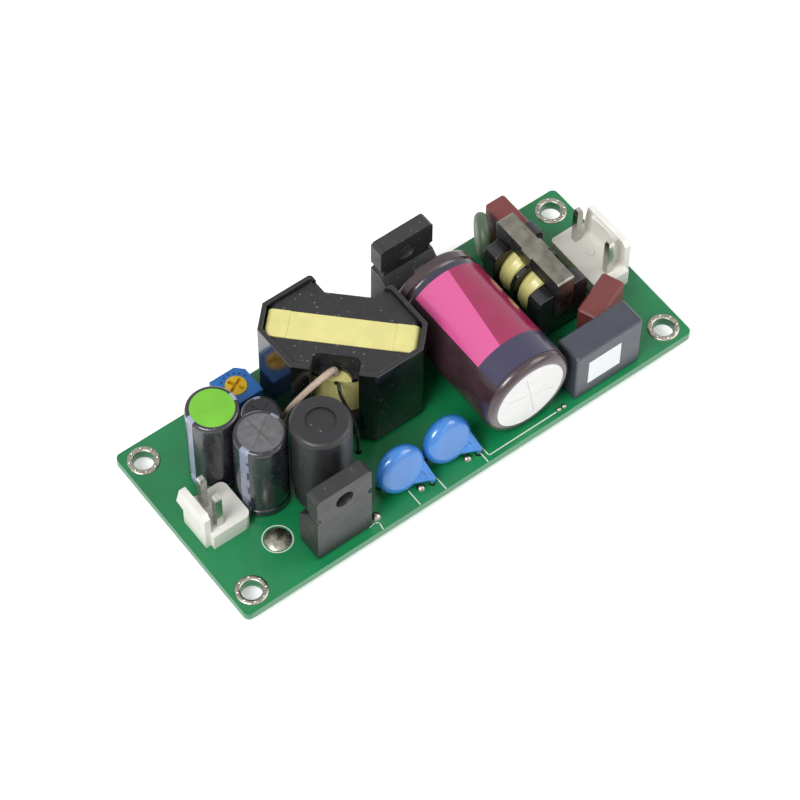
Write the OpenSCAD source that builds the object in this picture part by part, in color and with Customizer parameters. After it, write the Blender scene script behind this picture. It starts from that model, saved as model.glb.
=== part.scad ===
// Open frame switching power supply on one narrow circuit board.
//
// x runs along the board from the output end to the mains input end, y from
// the front long edge to the rear one, z up. The origin is the centre of the
// four mounting holes on the board's underside.
//
// The parts are packed one against the next, so each place follows from the
// sizes of its neighbours and a named gap, and the board is as long and as
// wide as its parts need.

/* [Board] */
// Thickness of the circuit board
board_t = 1.6; // [1:0.1:2.4]
// Radius of the board's corners
board_corner_r = 1; // [0.4:0.1:2]
// Diameter of the four mounting holes
hole_d = 3.4; // [2.8:0.1:4]
// Mounting hole centre to the board's end
hole_inset_x = 3.25; // [3:0.05:4.5]
// Mounting hole centre to the board's long edge
hole_inset_y = 3.35; // [3:0.05:4.5]
// Width of the solder ring round each mounting hole
ring_w = 0.93; // [0.5:0.01:1.2]
// Height of the solder rings
ring_h = 0.25; // [0.1:0.05:0.5]
// Length of the clipped leads below the board
lead_tail = 2; // [1.5:0.1:3]
// Board end to the output header
output_margin = 2; // [0.5:0.1:4]
// Board end to the input header
input_margin = 1.4; // [0.5:0.1:4]
// Front edge to the rectifier's flat face
front_margin = 1.5; // [0.5:0.1:4]
// Rear edge to the rear fuse
rear_margin = 0.55; // [0.3:0.05:3]

/* [Headers] */
// Height of the header bases
header_base_h = 3.4; // [2.5:0.1:5]
// Thickness of the header walls
header_wall_t = 1.1; // [0.8:0.1:1.6]
// Width of the square header pins
header_pin = 1.14; // [0.9:0.02:1.3]
// Distance from pin to pin
header_pitch = 3.96; // [3.5:0.02:4.5]
// Height of the header pins above the board
header_pin_h = 11.2; // [9:0.1:13]
// Output header, from its wall to its front
out_header_l = 8; // [7:0.1:9]
// Output header, along its wall
out_header_w = 7.7; // [7.2:0.1:9]
// Height of the output header's wall
out_wall_h = 8.2; // [6:0.1:10]
// Input header, from its wall to its front
in_header_l = 7.2; // [6.8:0.1:9]
// Input header, along its wall
in_header_w = 12.3; // [11.4:0.1:14]
// Height of the input header's wall
in_wall_h = 9; // [6:0.1:10]

/* [Output capacitors] */
// Diameter of the two output capacitors
can_d = 8.4; // [7:0.1:9.5]
// Height of the two output capacitors
can_h = 17.5; // [12:0.5:22]
// Lead spacing of the output capacitors
can_pitch = 3.5; // [2.5:0.1:4]
// Diameter of the small capacitor
small_can_d = 6.2; // [5:0.1:7]
// Height of the small capacitor
small_can_h = 11; // [8:0.5:16]
// Lead spacing of the small capacitor
small_can_pitch = 2.5; // [2:0.1:3]

/* [Output choke] */
// Diameter of the drum choke in its sleeve
drum_d = 9.6; // [8:0.1:11]
// Height of the drum choke
drum_h = 20; // [15:0.5:24]
// Diameter of the drum's foot below the sleeve
drum_foot_d = 8.6; // [7:0.1:9.4]
// Height of the foot below the sleeve
drum_foot_h = 5; // [3:0.5:7]
// Lead spacing of the drum choke
drum_pitch = 5; // [4:0.1:6]

/* [Power packages] */
// Width of the rectifier and the transistor
package_w = 10.1; // [9:0.1:11]
// Height of their bodies
package_h = 15.9; // [14:0.1:18]
// Thickness of their bodies
package_t = 4.7; // [4:0.1:5.5]
// Thickness of their tabs
package_tab_t = 2.65; // [2:0.05:3.2]
// Height of their tabs
package_tab_h = 6.35; // [5.5:0.05:7]
// Diameter of their screw holes
package_hole_d = 3.2; // [2.8:0.1:3.6]
// Screw hole to the top of the tab
package_hole_drop = 3.4; // [2.8:0.1:4]
// Lead spacing of the packages
package_pitch = 2.54; // [2:0.02:3]
// Height of the transistor above the board
transistor_lift = 2.1; // [0.3:0.1:4]

/* [Trimmer] */
// Width of the trimmer's square body
trimmer_w = 6; // [5.5:0.1:7]
// Height of the trimmer's body
trimmer_h = 5; // [4:0.1:7]
// Diameter of the rotor
rotor_d = 3.5; // [3:0.1:4]
// Running clearance round the rotor
rotor_gap = 0.06; // [0.03:0.01:0.1]

/* [Transformer] */
// Side of the square that clips the transformer's corners
tx_side = 21.6; // [20:0.1:23]
// Length of the transformer along its diagonal
tx_l = 25.6; // [24:0.1:27]
// Width of the transformer across its diagonal
tx_w = 17.3; // [16:0.1:18.5]
// Height of the transformer
tx_h = 18; // [15:0.5:21]
// Thickness of the black shell
shell_t = 0.8; // [0.5:0.1:1.2]
// Depth of the core's top below the shell's rim
core_drop = 0.8; // [0.4:0.1:1.5]
// Thickness of the core's two plates
core_plate_t = 3.3; // [2.5:0.1:4]
// Diameter of the core's centre post
core_post_d = 7; // [6:0.1:8]
// Diameter of the core's winding window
core_window_d = 14.8; // [14:0.1:15.4]
// Width of the side mouths of core and shell
tx_mouth_w = 7.5; // [6.5:0.1:8.5]
// Width of the tape band
tape_w = 5; // [3:0.1:7]
// Length of the tape's second layer at each end
tape_lap = 3.3; // [2:0.1:5]

/* [Bulk capacitor] */
// Diameter of the lying bulk capacitor
bulk_d = 16; // [14:0.1:18]
// Length of the bulk capacitor
bulk_l = 25.5; // [20:0.5:30]
// Lead spacing of the bulk capacitor
bulk_pitch = 7.5; // [5:0.1:8]

/* [Disc parts] */
// Diameter of the two blue disc capacitors
disc_d = 8.5; // [7:0.1:9]
// Thickness of the disc capacitors
disc_t = 2.8; // [2:0.1:3.5]
// Backward lean of the disc capacitors in degrees
disc_lean = 15; // [0:1:20]
// Diameter of the thermistor
ntc_d = 7.8; // [6:0.1:8.5]
// Thickness of the thermistor
ntc_t = 2; // [1.5:0.1:3]
// Height of the thermistor's lower edge
ntc_lift = 2; // [1:0.1:4]

/* [Mains side] */
// Length of the film capacitor
film_l = 13; // [11:0.1:15]
// Thickness of the film capacitor
film_w = 5; // [4:0.1:6]
// Height of the film capacitor
film_h = 11; // [8:0.1:13]
// Lead spacing of the film capacitor
film_pitch = 10; // [7.5:0.1:10.5]
// Length of the two box fuses
fuse_l = 8.5; // [7.5:0.1:9.5]
// Width of the two box fuses
fuse_w = 4; // [3.4:0.1:4.6]
// Height of the two box fuses
fuse_h = 8.2; // [7:0.1:10]
// Turn of the front fuse in degrees
fuse_turn = 22; // [10:1:30]
// Width of the line choke's bobbin
line_w = 9.9; // [9:0.1:11]
// Length of the line choke's bobbin
line_l = 14; // [13:0.1:16]
// Height of the line choke's bobbin
line_h = 11; // [10:0.1:12.5]
// Length of the line choke's core
line_core_l = 15.2; // [14.4:0.1:16]
// Width of the line choke's core
line_core_w = 3.3; // [2.6:0.1:3.6]
// Thickness of the bars of the line choke's core
line_bar_t = 2.8; // [2.2:0.1:3]
// Height of the line choke's core above the board
line_core_h = 13.8; // [13:0.1:15]
// Length of the bobbin's end blocks
line_block_l = 2.8; // [2.2:0.1:3]
// Diameter of the line choke's windings
line_coil_d = 9.2; // [8:0.1:9.6]
// Length of the clip's ends down the core
clip_drop = 7; // [4:0.1:9]

/* [Underside parts] */
// Length of the bridge rectifier and the controller chip
chip_l = 4.9; // [4.6:0.1:5.4]
// Width of the underside chips
chip_w = 3.9; // [3.4:0.1:4.4]
// Height of the bridge rectifier and the controller chip
chip_h = 1.5; // [1:0.1:2]
// Length of the optocoupler
opto_l = 4.4; // [4:0.1:5]
// Length of the chip resistors and capacitors
tiny_l = 2; // [1.6:0.1:2.4]
// Width of the chip resistors and capacitors
tiny_w = 1.2; // [0.8:0.1:1.6]
// Height of the chip resistors and capacitors
tiny_h = 0.6; // [0.4:0.05:0.9]

/* [Hidden] */
$fn = 40;

eps = 0.01;
lead_d = 0.7;
lead_gap = 0.15;
seat = 0.3;

function polar(r, a) = r * [cos(a), sin(a)];

// Point at distance ra from a and rb from b, on the right of the way a to b
// turned by a quarter.
function nest(a, ra, b, rb) =
    let (d = norm(b - a), u = (b - a) / d)
    let (s = (ra * ra - rb * rb + d * d) / (2 * d))
    a + s * u + sqrt(ra * ra - s * s) * [-u.y, u.x];

// Two points pitch apart about c, on a line turned by a.
function pair(c, pitch, a) = [for (s = [-0.5, 0.5]) c + polar(s * pitch, a)];

// Output end: header, two cans and the drum choke behind the rectifier.
header_can_gap = 0.4;
header_can_tuck = 0.4;
can_gap = 0.12;
can_choke_gap = 0.1;
can_bearing = 112.1;
choke_bearing = -33.3;
package_choke_gap = 0.15;
small_can_gap = 0.64;
rectifier_shift = 2.75;

out_x1 = output_margin + out_header_l;
drum_y = front_margin + package_t + package_choke_gap + drum_d / 2;
choke_step = polar(drum_d / 2 + can_d / 2 + can_choke_gap, choke_bearing);
can_b = [out_x1 + header_can_gap + can_d / 2, drum_y - choke_step.y];
drum = can_b + choke_step;
can_a = can_b + polar(can_d + can_gap, can_bearing);
small_reach = can_d / 2 + small_can_d / 2 + small_can_gap;
small_can = nest(can_a, small_reach, can_b, small_reach);
out_y1 = can_a.y - can_d / 2 + header_can_tuck;
out_pin_x = output_margin + 3;
out_mid_y = out_y1 - out_header_w / 2;
rectifier = [drum.x - rectifier_shift, front_margin];

// Middle: disc capacitors along the front, transformer, bulk capacitor.
disc_front = 5.05;
disc_tx_gap = 5.75;
drum_tx_tuck = 2.05;
tx_bulk_gap = 0.55;
bulk_front = 1.75;
bulk_disc_gap = 1.35;
disc_gap = 0.5;
bulk_lead_reach = 1.1;
bulk_package_gap = 2.04;
package_rear = 1.51;
transistor_shift = 1.55;
tx_rear = 0.6;
trimmer_tx_gap = 0.95;
trimmer_rear = 0.35;

tx = [
    drum.x + drum_d / 2 - drum_tx_tuck + tx_side / 2,
    disc_front + disc_t / 2 + disc_d / 2 * sin(disc_lean) + disc_tx_gap + tx_side / 2,
];
bulk = [tx.x + tx_side / 2 + tx_bulk_gap + bulk_d / 2, bulk_front];
bulk_x1 = bulk.x + bulk_d / 2;
disc_a = [bulk.x - bulk_d / 2 - bulk_disc_gap - disc_d / 2, disc_front];
disc_b = disc_a - [disc_d + disc_gap, 0];

// Input end: film capacitor, fuses, line choke, thermistor and header.
film_front = 0.95;
bulk_film_gap = 0.6;
bulk_line_gap = 2.2;
film_fuse_gap = 0.5;
line_fuse_gap = 0.9;
fuse_past_line = 0.5;
fuse_core_gap = 0.05;
fuse_line_gap = 0.2;
fuse_header_gap = 0.2;
fuse_header_shift = 2.7;
ntc_turn = 60;
ntc_fuse_gap = 0.25;
ntc_line_gap = 0.4;
ntc_rear = 0.07;

film = [bulk_x1 + bulk_film_gap, film_front];
line_x0 = bulk_x1 + bulk_line_gap;
line_x1 = line_x0 + line_w;
fuse_half_y = fuse_l / 2 * sin(fuse_turn) + fuse_w / 2 * cos(fuse_turn);
front_fuse_at = [
    line_x1 + fuse_past_line,
    film.y + film_w + film_fuse_gap + fuse_half_y,
];
fuse_back_y = front_fuse_at.y - fuse_past_line * tan(fuse_turn) + fuse_w / 2 / cos(fuse_turn);
line_y0 = fuse_back_y + line_fuse_gap;
line = [line_x0 + line_w / 2, line_y0 + line_l / 2];
rear_fuse_w = fuse_w - 0.2;
rear_fuse_l = fuse_l - 0.5;
rear_fuse_at = [
    line.x + line_core_w / 2 + fuse_core_gap + rear_fuse_w / 2,
    line_y0 + line_l + fuse_line_gap + rear_fuse_l / 2,
];
in_x0 = front_fuse_at.x + fuse_header_shift;
in_y0 = front_fuse_at.y + fuse_half_y + fuse_header_gap;
in_mid_y = in_y0 + in_header_w / 2;
in_pin_x = in_x0 + in_header_l - 3.7;
ntc_half_x = ntc_d / 2 * cos(ntc_turn) + ntc_t / 2 * sin(ntc_turn);
ntc_half_y = ntc_d / 2 * sin(ntc_turn) + ntc_t / 2 * cos(ntc_turn);

board_l = in_x0 + in_header_l + input_margin;
board_w = max([
    rear_fuse_at.y + rear_fuse_l / 2 + rear_margin,
    tx.y + tx_side / 2 + tx_rear,
    bulk.y + bulk_l + bulk_package_gap + package_t + package_rear,
    line_y0 + line_l + ntc_line_gap + 2 * ntc_half_y + ntc_rear,
    small_can.y + small_can_d / 2 + trimmer_w + trimmer_rear,
]);

trimmer = [
    tx.x - tx_side / 2 - trimmer_tx_gap - trimmer_w / 2,
    board_w - trimmer_rear - trimmer_w / 2,
];
transistor = [bulk.x - transistor_shift, board_w - package_rear];
ntc = [
    rear_fuse_at.x - rear_fuse_w / 2 - ntc_fuse_gap - ntc_half_x,
    board_w - ntc_rear - ntc_half_y,
];
bulk_z = seat + bulk_d / 2;
tx_pin_n = tx_w / 2 - 1.5;

// Heights in the transformer: underside and top of its core, and the window between its plates.
core_z = 1;
core_top = tx_h - core_drop;
window_z0 = core_z + core_plate_t;
window_z1 = core_top - core_plate_t;

// Lead places on the board, each list for one part.
package_lead_in = 2.7;
out_pins = [for (s = [-0.5, 0.5]) [out_pin_x, out_mid_y - 0.1 + s * header_pitch]];
in_pins = [for (s = [-1, 1]) [in_pin_x, in_mid_y - 0.1 + s * header_pitch]];
can_a_leads = pair(can_a, can_pitch, 0);
can_b_leads = pair(can_b, can_pitch, 90);
small_leads = pair(small_can, small_can_pitch, 60);
drum_leads = pair(drum, drum_pitch, 20);
rectifier_pins = [for (i = [-1:1]) rectifier + [i * package_pitch, package_lead_in]];
transistor_pins = [for (i = [-1:1]) transistor + [i * package_pitch, -package_lead_in]];
trimmer_legs = [for (i = [-1:1]) trimmer + [i * 2, abs(i) * -1.6 + 1.2]];
tx_pins = [for (n = [-1, 1], i = [-1:1]) tx + polar(i * 2.54, -45) + polar(n * tx_pin_n, 45)];
bulk_pins = pair([bulk.x, bulk.y + bulk_l + bulk_lead_reach], bulk_pitch, 0);
film_pins = pair([film.x + film_l / 2, film.y + film_w / 2], film_pitch, 0);
line_pins = [for (i = [-1, 1], j = [-1, 1]) line + [i * (line_w / 2 - 0.9), j * (line_l / 2 - 1.4)]];
ntc_pitch = 5;
ntc_pins = pair(ntc, ntc_pitch, ntc_turn);
fuse_pins = concat(pair(rear_fuse_at, 5.08, 90), pair(front_fuse_at, 5.08, fuse_turn));
function disc_leads(c) = [c + [disc_d / 2 - 0.15, -2.9], c + [1.2 - disc_d / 2, 1.4]];

// Routes of the two free leads from the winding to the board, measured from
// the transformer's middle and, near the winding, from its window's top.
lead_end = -board_t - lead_tail;
secondary_route = [
    [-4.15, -3.75, window_z1 - 0.7], [-4.55, -3.95, window_z1 + 0.7],
    [-6.55, -4.45, window_z1 + 1.6], [-8.85, -4.55, window_z1 + 1.1],
    [-11.05, -4.05, window_z1 - 0.9], [-12.15, -2.75, 9.5], [-12.35, -1.35, 5.5],
    [-12.35, -0.95, 2.5], [-12.35, -0.95, lead_end],
];
sleeved_route = [
    [-5.15, -5.15, window_z1 - 0.8], [-5.35, -6.15, window_z1 + 0.1], [-5.75, -7.25, window_z1 - 0.9],
    [-5.35, -8.05, 10.5], [-4.75, -8.85, 8], [-4.55, -9.85, 5],
    [-4.85, -10.45, 2.5], [-4.85, -10.55, lead_end],
];
function route_foot(route) = let (p = route[len(route) - 1]) tx + [p.x, p.y];

// Each drilled lead hole: place and diameter of what passes through it.
pin_round = header_pin * sqrt(2);
drills = concat(
    [for (p = concat(out_pins, in_pins)) [p, pin_round]],
    [for (p = concat(can_a_leads, can_b_leads, small_leads)) [p, lead_d]],
    [for (p = concat(drum_leads, trimmer_legs, tx_pins, bulk_pins)) [p, lead_d]],
    [for (p = concat(rectifier_pins, transistor_pins)) [p, 1]],
    [for (p = concat(disc_leads(disc_a), disc_leads(disc_b))) [p, lead_d]],
    [for (p = concat(film_pins, line_pins, ntc_pins, fuse_pins)) [p, lead_d]],
    [[route_foot(secondary_route), 0.8], [route_foot(sleeved_route), lead_d]]
);

// Places on the board's top face.
module at(p, z = 0) {
    translate([p.x - board_l / 2, p.y - board_w / 2, board_t + z]) children();
}

module each_corner() {
    for (x = [hole_inset_x, board_l - hole_inset_x], y = [hole_inset_y, board_w - hole_inset_y])
        at([x, y]) children();
}

// Square outline with round corners.
module round_square(l, w, r) {
    square([l - 2 * r, w], center = true);
    square([l, w - 2 * r], center = true);
    for (x = [-1, 1], y = [-1, 1])
        translate([x * (l / 2 - r), y * (w / 2 - r)]) circle(r);
}

// Moulded box with round upright edges and eased ends, standing on z = 0.
module soft_box(l, w, h, r) {
    ease = r * 0.6;
    hull() {
        translate([0, 0, ease]) linear_extrude(h - 2 * ease) round_square(l, w, r, $fn = 16);
        linear_extrude(h) round_square(l - 2 * ease, w - 2 * ease, r, $fn = 16);
    }
}

// Round leads from z down through the board, at the places given.
module leads(places, z, d = lead_d) {
    for (p = places)
        at(p, -board_t - lead_tail) cylinder(d = d, h = z + board_t + lead_tail);
}

// Half outline of a sleeved can: a round shoulder and a crimp groove.
module can_profile(r, h, shoulder, groove_at) {
    difference() {
        union() {
            square([r - shoulder, h]);
            square([r, h - shoulder]);
            translate([r - shoulder, h - shoulder]) circle(shoulder);
        }
        translate([r + 0.25, groove_at]) circle(0.5);
        translate([-r, -1]) square([r, h + 2]);
    }
}

// Upright can with a recess for its bare top.
module can_body(d, h, rim) {
    difference() {
        translate([0, 0, seat]) rotate_extrude() can_profile(d / 2, h - seat, 0.6, 1.6);
        translate([0, 0, h - 0.3]) cylinder(d = d - 2 * rim, h = 1);
        translate([0, 0, seat - 1]) cylinder(d = d - 2.4, h = 1.3);
    }
}

// Bare metal top of a can with three vent scores that meet in a K.
module can_top(d, h, rim, scores) {
    difference() {
        translate([0, 0, h - 0.3]) cylinder(d = d - 2 * rim, h = 0.25);
        for (a = scores)
            rotate(a) translate([0, -0.12, h - 0.15]) cube([d / 2 - rim - 0.5, 0.24, 1]);
    }
}

// Rounded disc of a dipped part, standing upright on z = 0 in the xz plane.
module dipped_disc(d, t) {
    translate([0, 0, d / 2]) rotate([90, 0, 0]) rotate_extrude() {
        translate([0, -t / 2]) square([d / 2 - t / 2, t]);
        intersection() {
            translate([d / 2 - t / 2, 0]) circle(t / 2);
            translate([0, -t]) square([d, 2 * t]);
        }
    }
}

// Smooth curve through points, n steps a span.
function curve_point(a, b, c, d, t) =
    0.5 * (2 * b + (c - a) * t + (2 * a - 5 * b + 4 * c - d) * t * t + (3 * b - a - 3 * c + d) * t * t * t);
function curve(pts, n) = let (m = len(pts)) [
    for (i = [0:m - 2], k = [0:n - 1])
        curve_point(pts[max(i - 1, 0)], pts[i], pts[i + 1], pts[min(i + 2, m - 1)], k / n),
    pts[m - 1],
];

// Round lead swept along a curve, from radius r0 to radius r1.
module swept_lead(pts, r0, r1) {
    sides = 8;
    n = len(pts);
    way = [for (i = [0:n - 1]) let (d = pts[min(i + 1, n - 1)] - pts[max(i - 1, 0)]) d / norm(d)];
    side = [for (w = way) let (c = cross(w, [1, 1, 0.3])) c / norm(c)];
    rings = [for (i = [0:n - 1], k = [0:sides - 1])
        let (r = r0 + (r1 - r0) * i / (n - 1), a = 360 * k / sides)
        pts[i] + r * (cos(a) * side[i] + sin(a) * cross(way[i], side[i]))];
    walls = [for (i = [0:n - 2], k = [0:sides - 1])
        [i * sides + k, i * sides + (k + 1) % sides, (i + 1) * sides + (k + 1) % sides, (i + 1) * sides + k]];
    ends = [[for (k = [sides - 1:-1:0]) k], [for (k = [0:sides - 1]) (n - 1) * sides + k]];
    polyhedron(rings, concat(walls, ends));
}

// ---------------------------------------------------------------- board

module circuit_board() {
    color("seagreen") difference() {
        linear_extrude(board_t) round_square(board_l, board_w, board_corner_r);
        each_corner() translate([0, 0, -board_t - 1]) cylinder(d = hole_d, h = board_t + 2);
        for (h = drills)
            at(h[0], -board_t - 1) cylinder(d = h[1] + 2 * lead_gap, h = board_t + 2);
    }
}

// Raised solder ring on both faces round each mounting hole.
module mounting_rings() {
    color("silver") each_corner()
        for (face = [0, 1])
            translate([0, 0, -face * board_t]) mirror([0, 0, face]) rotate_extrude() difference() {
                translate([hole_d / 2 + ring_w / 2, 0]) scale([ring_w / 2 / ring_h, 1]) circle(ring_h);
                translate([0, -5]) square([10, 5]);
            }
}

// Domes of solder on the top face.
blob_d = 4.2;
dome_h = 0.55;
module dome(d, h) {
    r = (d * d / 4 + h * h) / (2 * h);
    translate([0, 0, h - r]) intersection() {
        sphere(r);
        translate([0, 0, r - h]) cylinder(r = d, h = 2 * h);
    }
}
module top_solder() {
    color("silver") {
        at([drum.x - 10.55, front_margin + 6.75]) dome(blob_d, dome_h);
        at(rectifier + [6.6, 1.05]) dome(1.7, dome_h);
        for (c = [disc_a, disc_b])
            at(c + [2.2, -2.5]) dome(1.5, dome_h);
        for (x = [3, 1.96])
            at(film + [-x, 0.17]) dome(0.9, 0.4);
    }
}

// Solder cone round each clipped lead below the board.
module solder_joints() {
    color("silver") for (h = drills)
        at(h[0], -board_t) mirror([0, 0, 1]) difference() {
            cylinder(d1 = h[1] + 1.3, d2 = h[1] + 0.3, h = 0.9);
            translate([0, 0, -1]) cylinder(d = h[1] + 0.02, h = 3);
        }
}

// -------------------------------------------------------------- headers

// Base of a shrouded header, its wall along x = 0 and its front towards +x.
module header_base(l, w, corner, pins) {
    wall_step = header_wall_t - 0.2;
    difference() {
        union() {
            translate([wall_step, -w / 2, 0]) cube([l - wall_step - corner, w, header_base_h]);
            translate([wall_step, -w / 2 + corner, 0]) cube([l - wall_step, w - 2 * corner, header_base_h]);
            for (y = [-1, 1])
                translate([l - corner, y * (w / 2 - corner), 0]) cylinder(r = corner, h = header_base_h);
        }
        for (p = pins)
            translate([p.x, p.y, header_base_h / 2])
                cube([header_pin, header_pin, header_base_h + 1], center = true);
        translate([l - 0.6, -w / 2 + 1.6, -eps]) cube([1, w - 3.2, 0.8]);
    }
}

// Latch wall of a header: a plate with a slanted end and a ramp inside its top.
module header_wall(w, h, low, ear, drop) {
    rotate([90, 0, 90]) linear_extrude(header_wall_t) polygon([
        [-w / 2 + low, 0], [w / 2 - low, 0], [w / 2 - low, header_base_h],
        [w / 2 + ear, header_base_h + 0.4], [w / 2 + ear - drop, h],
        [-w / 2 + low + 0.8, h], [-w / 2 + low, h - 0.8],
    ]);
    translate([header_wall_t, 0, h - 1.4]) rotate([90, 0, 0])
        linear_extrude(w * 0.5, center = true) polygon([[-0.1, 0], [0.45, 0.5], [-0.1, 1.1]]);
}

// Square pins with a tip tapered on all four sides.
module header_pins(places) {
    w = header_pin / 2;
    tip = 0.8;
    side = [
        [-w, lead_end], [w, lead_end], [w, header_pin_h - tip],
        [w * 0.7, header_pin_h], [-w * 0.7, header_pin_h], [-w, header_pin_h - tip],
    ];
    for (p = places)
        at(p) intersection() {
            rotate([90, 0, 0]) linear_extrude(header_pin, center = true) polygon(side);
            rotate([90, 0, 90]) linear_extrude(header_pin, center = true) polygon(side);
        }
}

module output_header() {
    pins = [for (p = out_pins) p - [output_margin, out_mid_y]];
    color("ivory") at([output_margin, out_mid_y]) {
        header_base(out_header_l, out_header_w, 1.2, pins);
        header_wall(out_header_w, out_wall_h, 0.9, 0.9, 1.1);
    }
}

module output_header_pins() {
    color("gainsboro") header_pins(out_pins);
}

module input_header() {
    wall_x = in_x0 + in_header_l;
    pins = [for (p = in_pins) [wall_x - p.x, p.y - in_mid_y]];
    color("ivory") at([wall_x, in_mid_y]) mirror([1, 0, 0]) {
        header_base(in_header_l, in_header_w, 0.6, pins);
        header_wall(in_header_w, in_wall_h, 1.1, -1, 0.6);
        translate([3.7, 0, header_base_h]) cylinder(d = 1, h = 0.3);
    }
}

module input_header_pins() {
    color("gainsboro") header_pins(in_pins);
}

// ---------------------------------------------------- output capacitors

can_rim = 0.7;

module output_capacitor_a() {
    color("rebeccapurple") at(can_a) can_body(can_d, can_h, can_rim);
}

module output_capacitor_a_top() {
    color("limegreen") at(can_a) can_top(can_d, can_h, can_rim, []);
}

module output_capacitor_a_leads() {
    color("silver") leads(can_a_leads, 2 * seat);
}

module output_capacitor_b() {
    color("rebeccapurple") at(can_b) can_body(can_d, can_h, can_rim);
}

module output_capacitor_b_top() {
    color("lightgray") at(can_b) can_top(can_d, can_h, can_rim, [35, 95, 215, 275]);
}

module output_capacitor_b_leads() {
    color("silver") leads(can_b_leads, 2 * seat);
}

module small_capacitor() {
    color("rebeccapurple") at(small_can) can_body(small_can_d, small_can_h, can_rim);
}

module small_capacitor_top() {
    color("lightgray") at(small_can) can_top(small_can_d, small_can_h, can_rim, [20, 110, 200, 290]);
}

module small_capacitor_leads() {
    color("silver") leads(small_leads, 2 * seat);
}

// --------------------------------------------------------- drum choke

drum_mouth_d = 4.8;
sleeve_t = 0.35;

// Shrunk sleeve that closes over the drum's top round a bare middle.
module drum_choke_sleeve() {
    r = drum_d / 2;
    color("#222222") at(drum, drum_foot_h) rotate_extrude() difference() {
        union() {
            square([r, drum_h - drum_foot_h - 0.9]);
            square([r - 0.9, drum_h - drum_foot_h]);
            translate([r - 0.9, drum_h - drum_foot_h - 0.9]) circle(0.9);
        }
        translate([-r, -eps]) square([2 * r - sleeve_t, drum_h - drum_foot_h - sleeve_t]);
        translate([-r, -1]) square([r + drum_mouth_d / 2, drum_h]);
    }
}

// Ferrite drum: two flanges, with the foot showing below the sleeve.
module drum_choke_core() {
    r = drum_d / 2 - sleeve_t - 0.05;
    color("#333333") at(drum) rotate_extrude() polygon([
        [0, seat], [drum_foot_d / 2 - 0.4, seat], [drum_foot_d / 2, seat + 0.4],
        [drum_foot_d / 2, drum_foot_h + 0.5], [r, drum_foot_h + 0.5],
        [r, drum_h - 1.2], [r - 0.8, drum_h - sleeve_t - 0.05], [0, drum_h - sleeve_t - 0.05],
    ]);
}

module drum_choke_leads() {
    color("silver") leads(drum_leads, seat);
}

// ------------------------------------------------------ power packages

// Moulded package, flat back on y = 0, body towards +y, standing on z = 0.
module power_package() {
    step_z = package_h - package_tab_h;
    slope = package_t - package_tab_t;
    notch_r = 0.75;
    difference() {
        translate([-package_w / 2, 0, 0]) rotate([90, 0, 90]) linear_extrude(package_w) polygon([
            [0, 0], [package_t - 0.3, 0], [package_t, 0.6], [package_t, step_z - slope],
            [package_tab_t, step_z], [package_tab_t, package_h], [0, package_h],
        ]);
        translate([0, -1, package_h - package_hole_drop])
            rotate([-90, 0, 0]) cylinder(d = package_hole_d, h = package_t + 2);
        for (x = [-1, 1])
            translate([x * package_w / 2, -1, step_z + notch_r])
                rotate([-90, 0, 0]) cylinder(r = notch_r, h = package_t + 2);
        for (x = [-1, 1])
            translate([x * package_w / 2, -eps, package_h])
                rotate([-90, 0, 0]) cylinder(r = 0.5, h = package_t, $fn = 4);
    }
}

// Flat stamped leads with a wider neck under the body.
module package_leads(places, lift) {
    for (p = places)
        at(p, -board_t - lead_tail) {
            translate([-0.4, -0.3, 0]) cube([0.8, 0.6, lift + board_t + lead_tail]);
            if (lift > 1)
                translate([-0.65, -0.3, lift + board_t + lead_tail - 1.2]) cube([1.3, 0.6, 1.2]);
        }
}

module rectifier_body() {
    color("#2b2b2b") at(rectifier, seat) power_package();
}

module rectifier_leads() {
    color("silver") package_leads(rectifier_pins, seat);
}

module transistor_body() {
    color("#2b2b2b") at(transistor, transistor_lift) rotate(180) power_package();
}

module transistor_leads() {
    color("silver") package_leads(transistor_pins, transistor_lift);
}

// ------------------------------------------------------------- trimmer

rotor_h = 1.7;
rotor_proud = 0.15;

module trimmer_body() {
    w = trimmer_w / 2;
    notch = 1.3;
    color("royalblue") at(trimmer) difference() {
        union() {
            translate([0, 0, 0.4]) linear_extrude(trimmer_h - 0.4) polygon([
                [-w, -w], [w, -w], [w, w - notch], [w - notch, w], [-w, w],
            ]);
            for (x = [-1, 1], y = [-1, 1])
                translate([x * (w - 1.6), y * (w - 1.6), 0]) cylinder(d = 1, h = 0.5);
        }
        translate([0, 0, trimmer_h - rotor_h]) cylinder(d = rotor_d + 2 * rotor_gap, h = rotor_h + 1);
    }
}

// Turning disc with a cross slot for the driver.
module trimmer_rotor() {
    slot_w = 0.6;
    slot_l = rotor_d - 0.7;
    color("gold") at(trimmer, trimmer_h - rotor_h + rotor_gap) difference() {
        cylinder(d = rotor_d, h = rotor_h + rotor_proud - rotor_gap);
        for (a = [25, 115])
            rotate(a) translate([-slot_l / 2, -slot_w / 2, rotor_h - 0.7]) cube([slot_l, slot_w, 2]);
    }
}

module trimmer_pins() {
    color("silver") leads(trimmer_legs, 0.4);
}

// --------------------------------------------------------- transformer

flange_t = 0.8;
fit = 0.05;
mouth_floor = tx_w / 2 - 3.75;
rear_mouth_floor = tx_w / 2 - 2.3;
tape_t = 0.12;
tape_off = -0.5;
tape_room = 0.4;
tape_drop = 2.5;
core_bend = 0.7;
core_end = tx_l / 2 - shell_t - tape_room;

// Transformer frame: x along the diagonal, y towards the board's rear.
module tx_frame(z = 0) {
    at(tx, z) rotate(-45) children();
}

// Clipped diamond outline, drawn in by inset.
module tx_outline(inset) {
    intersection() {
        square([tx_l - 2 * inset, tx_w - 2 * inset], center = true);
        rotate(45) square(tx_side - 2 * inset, center = true);
    }
}

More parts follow.
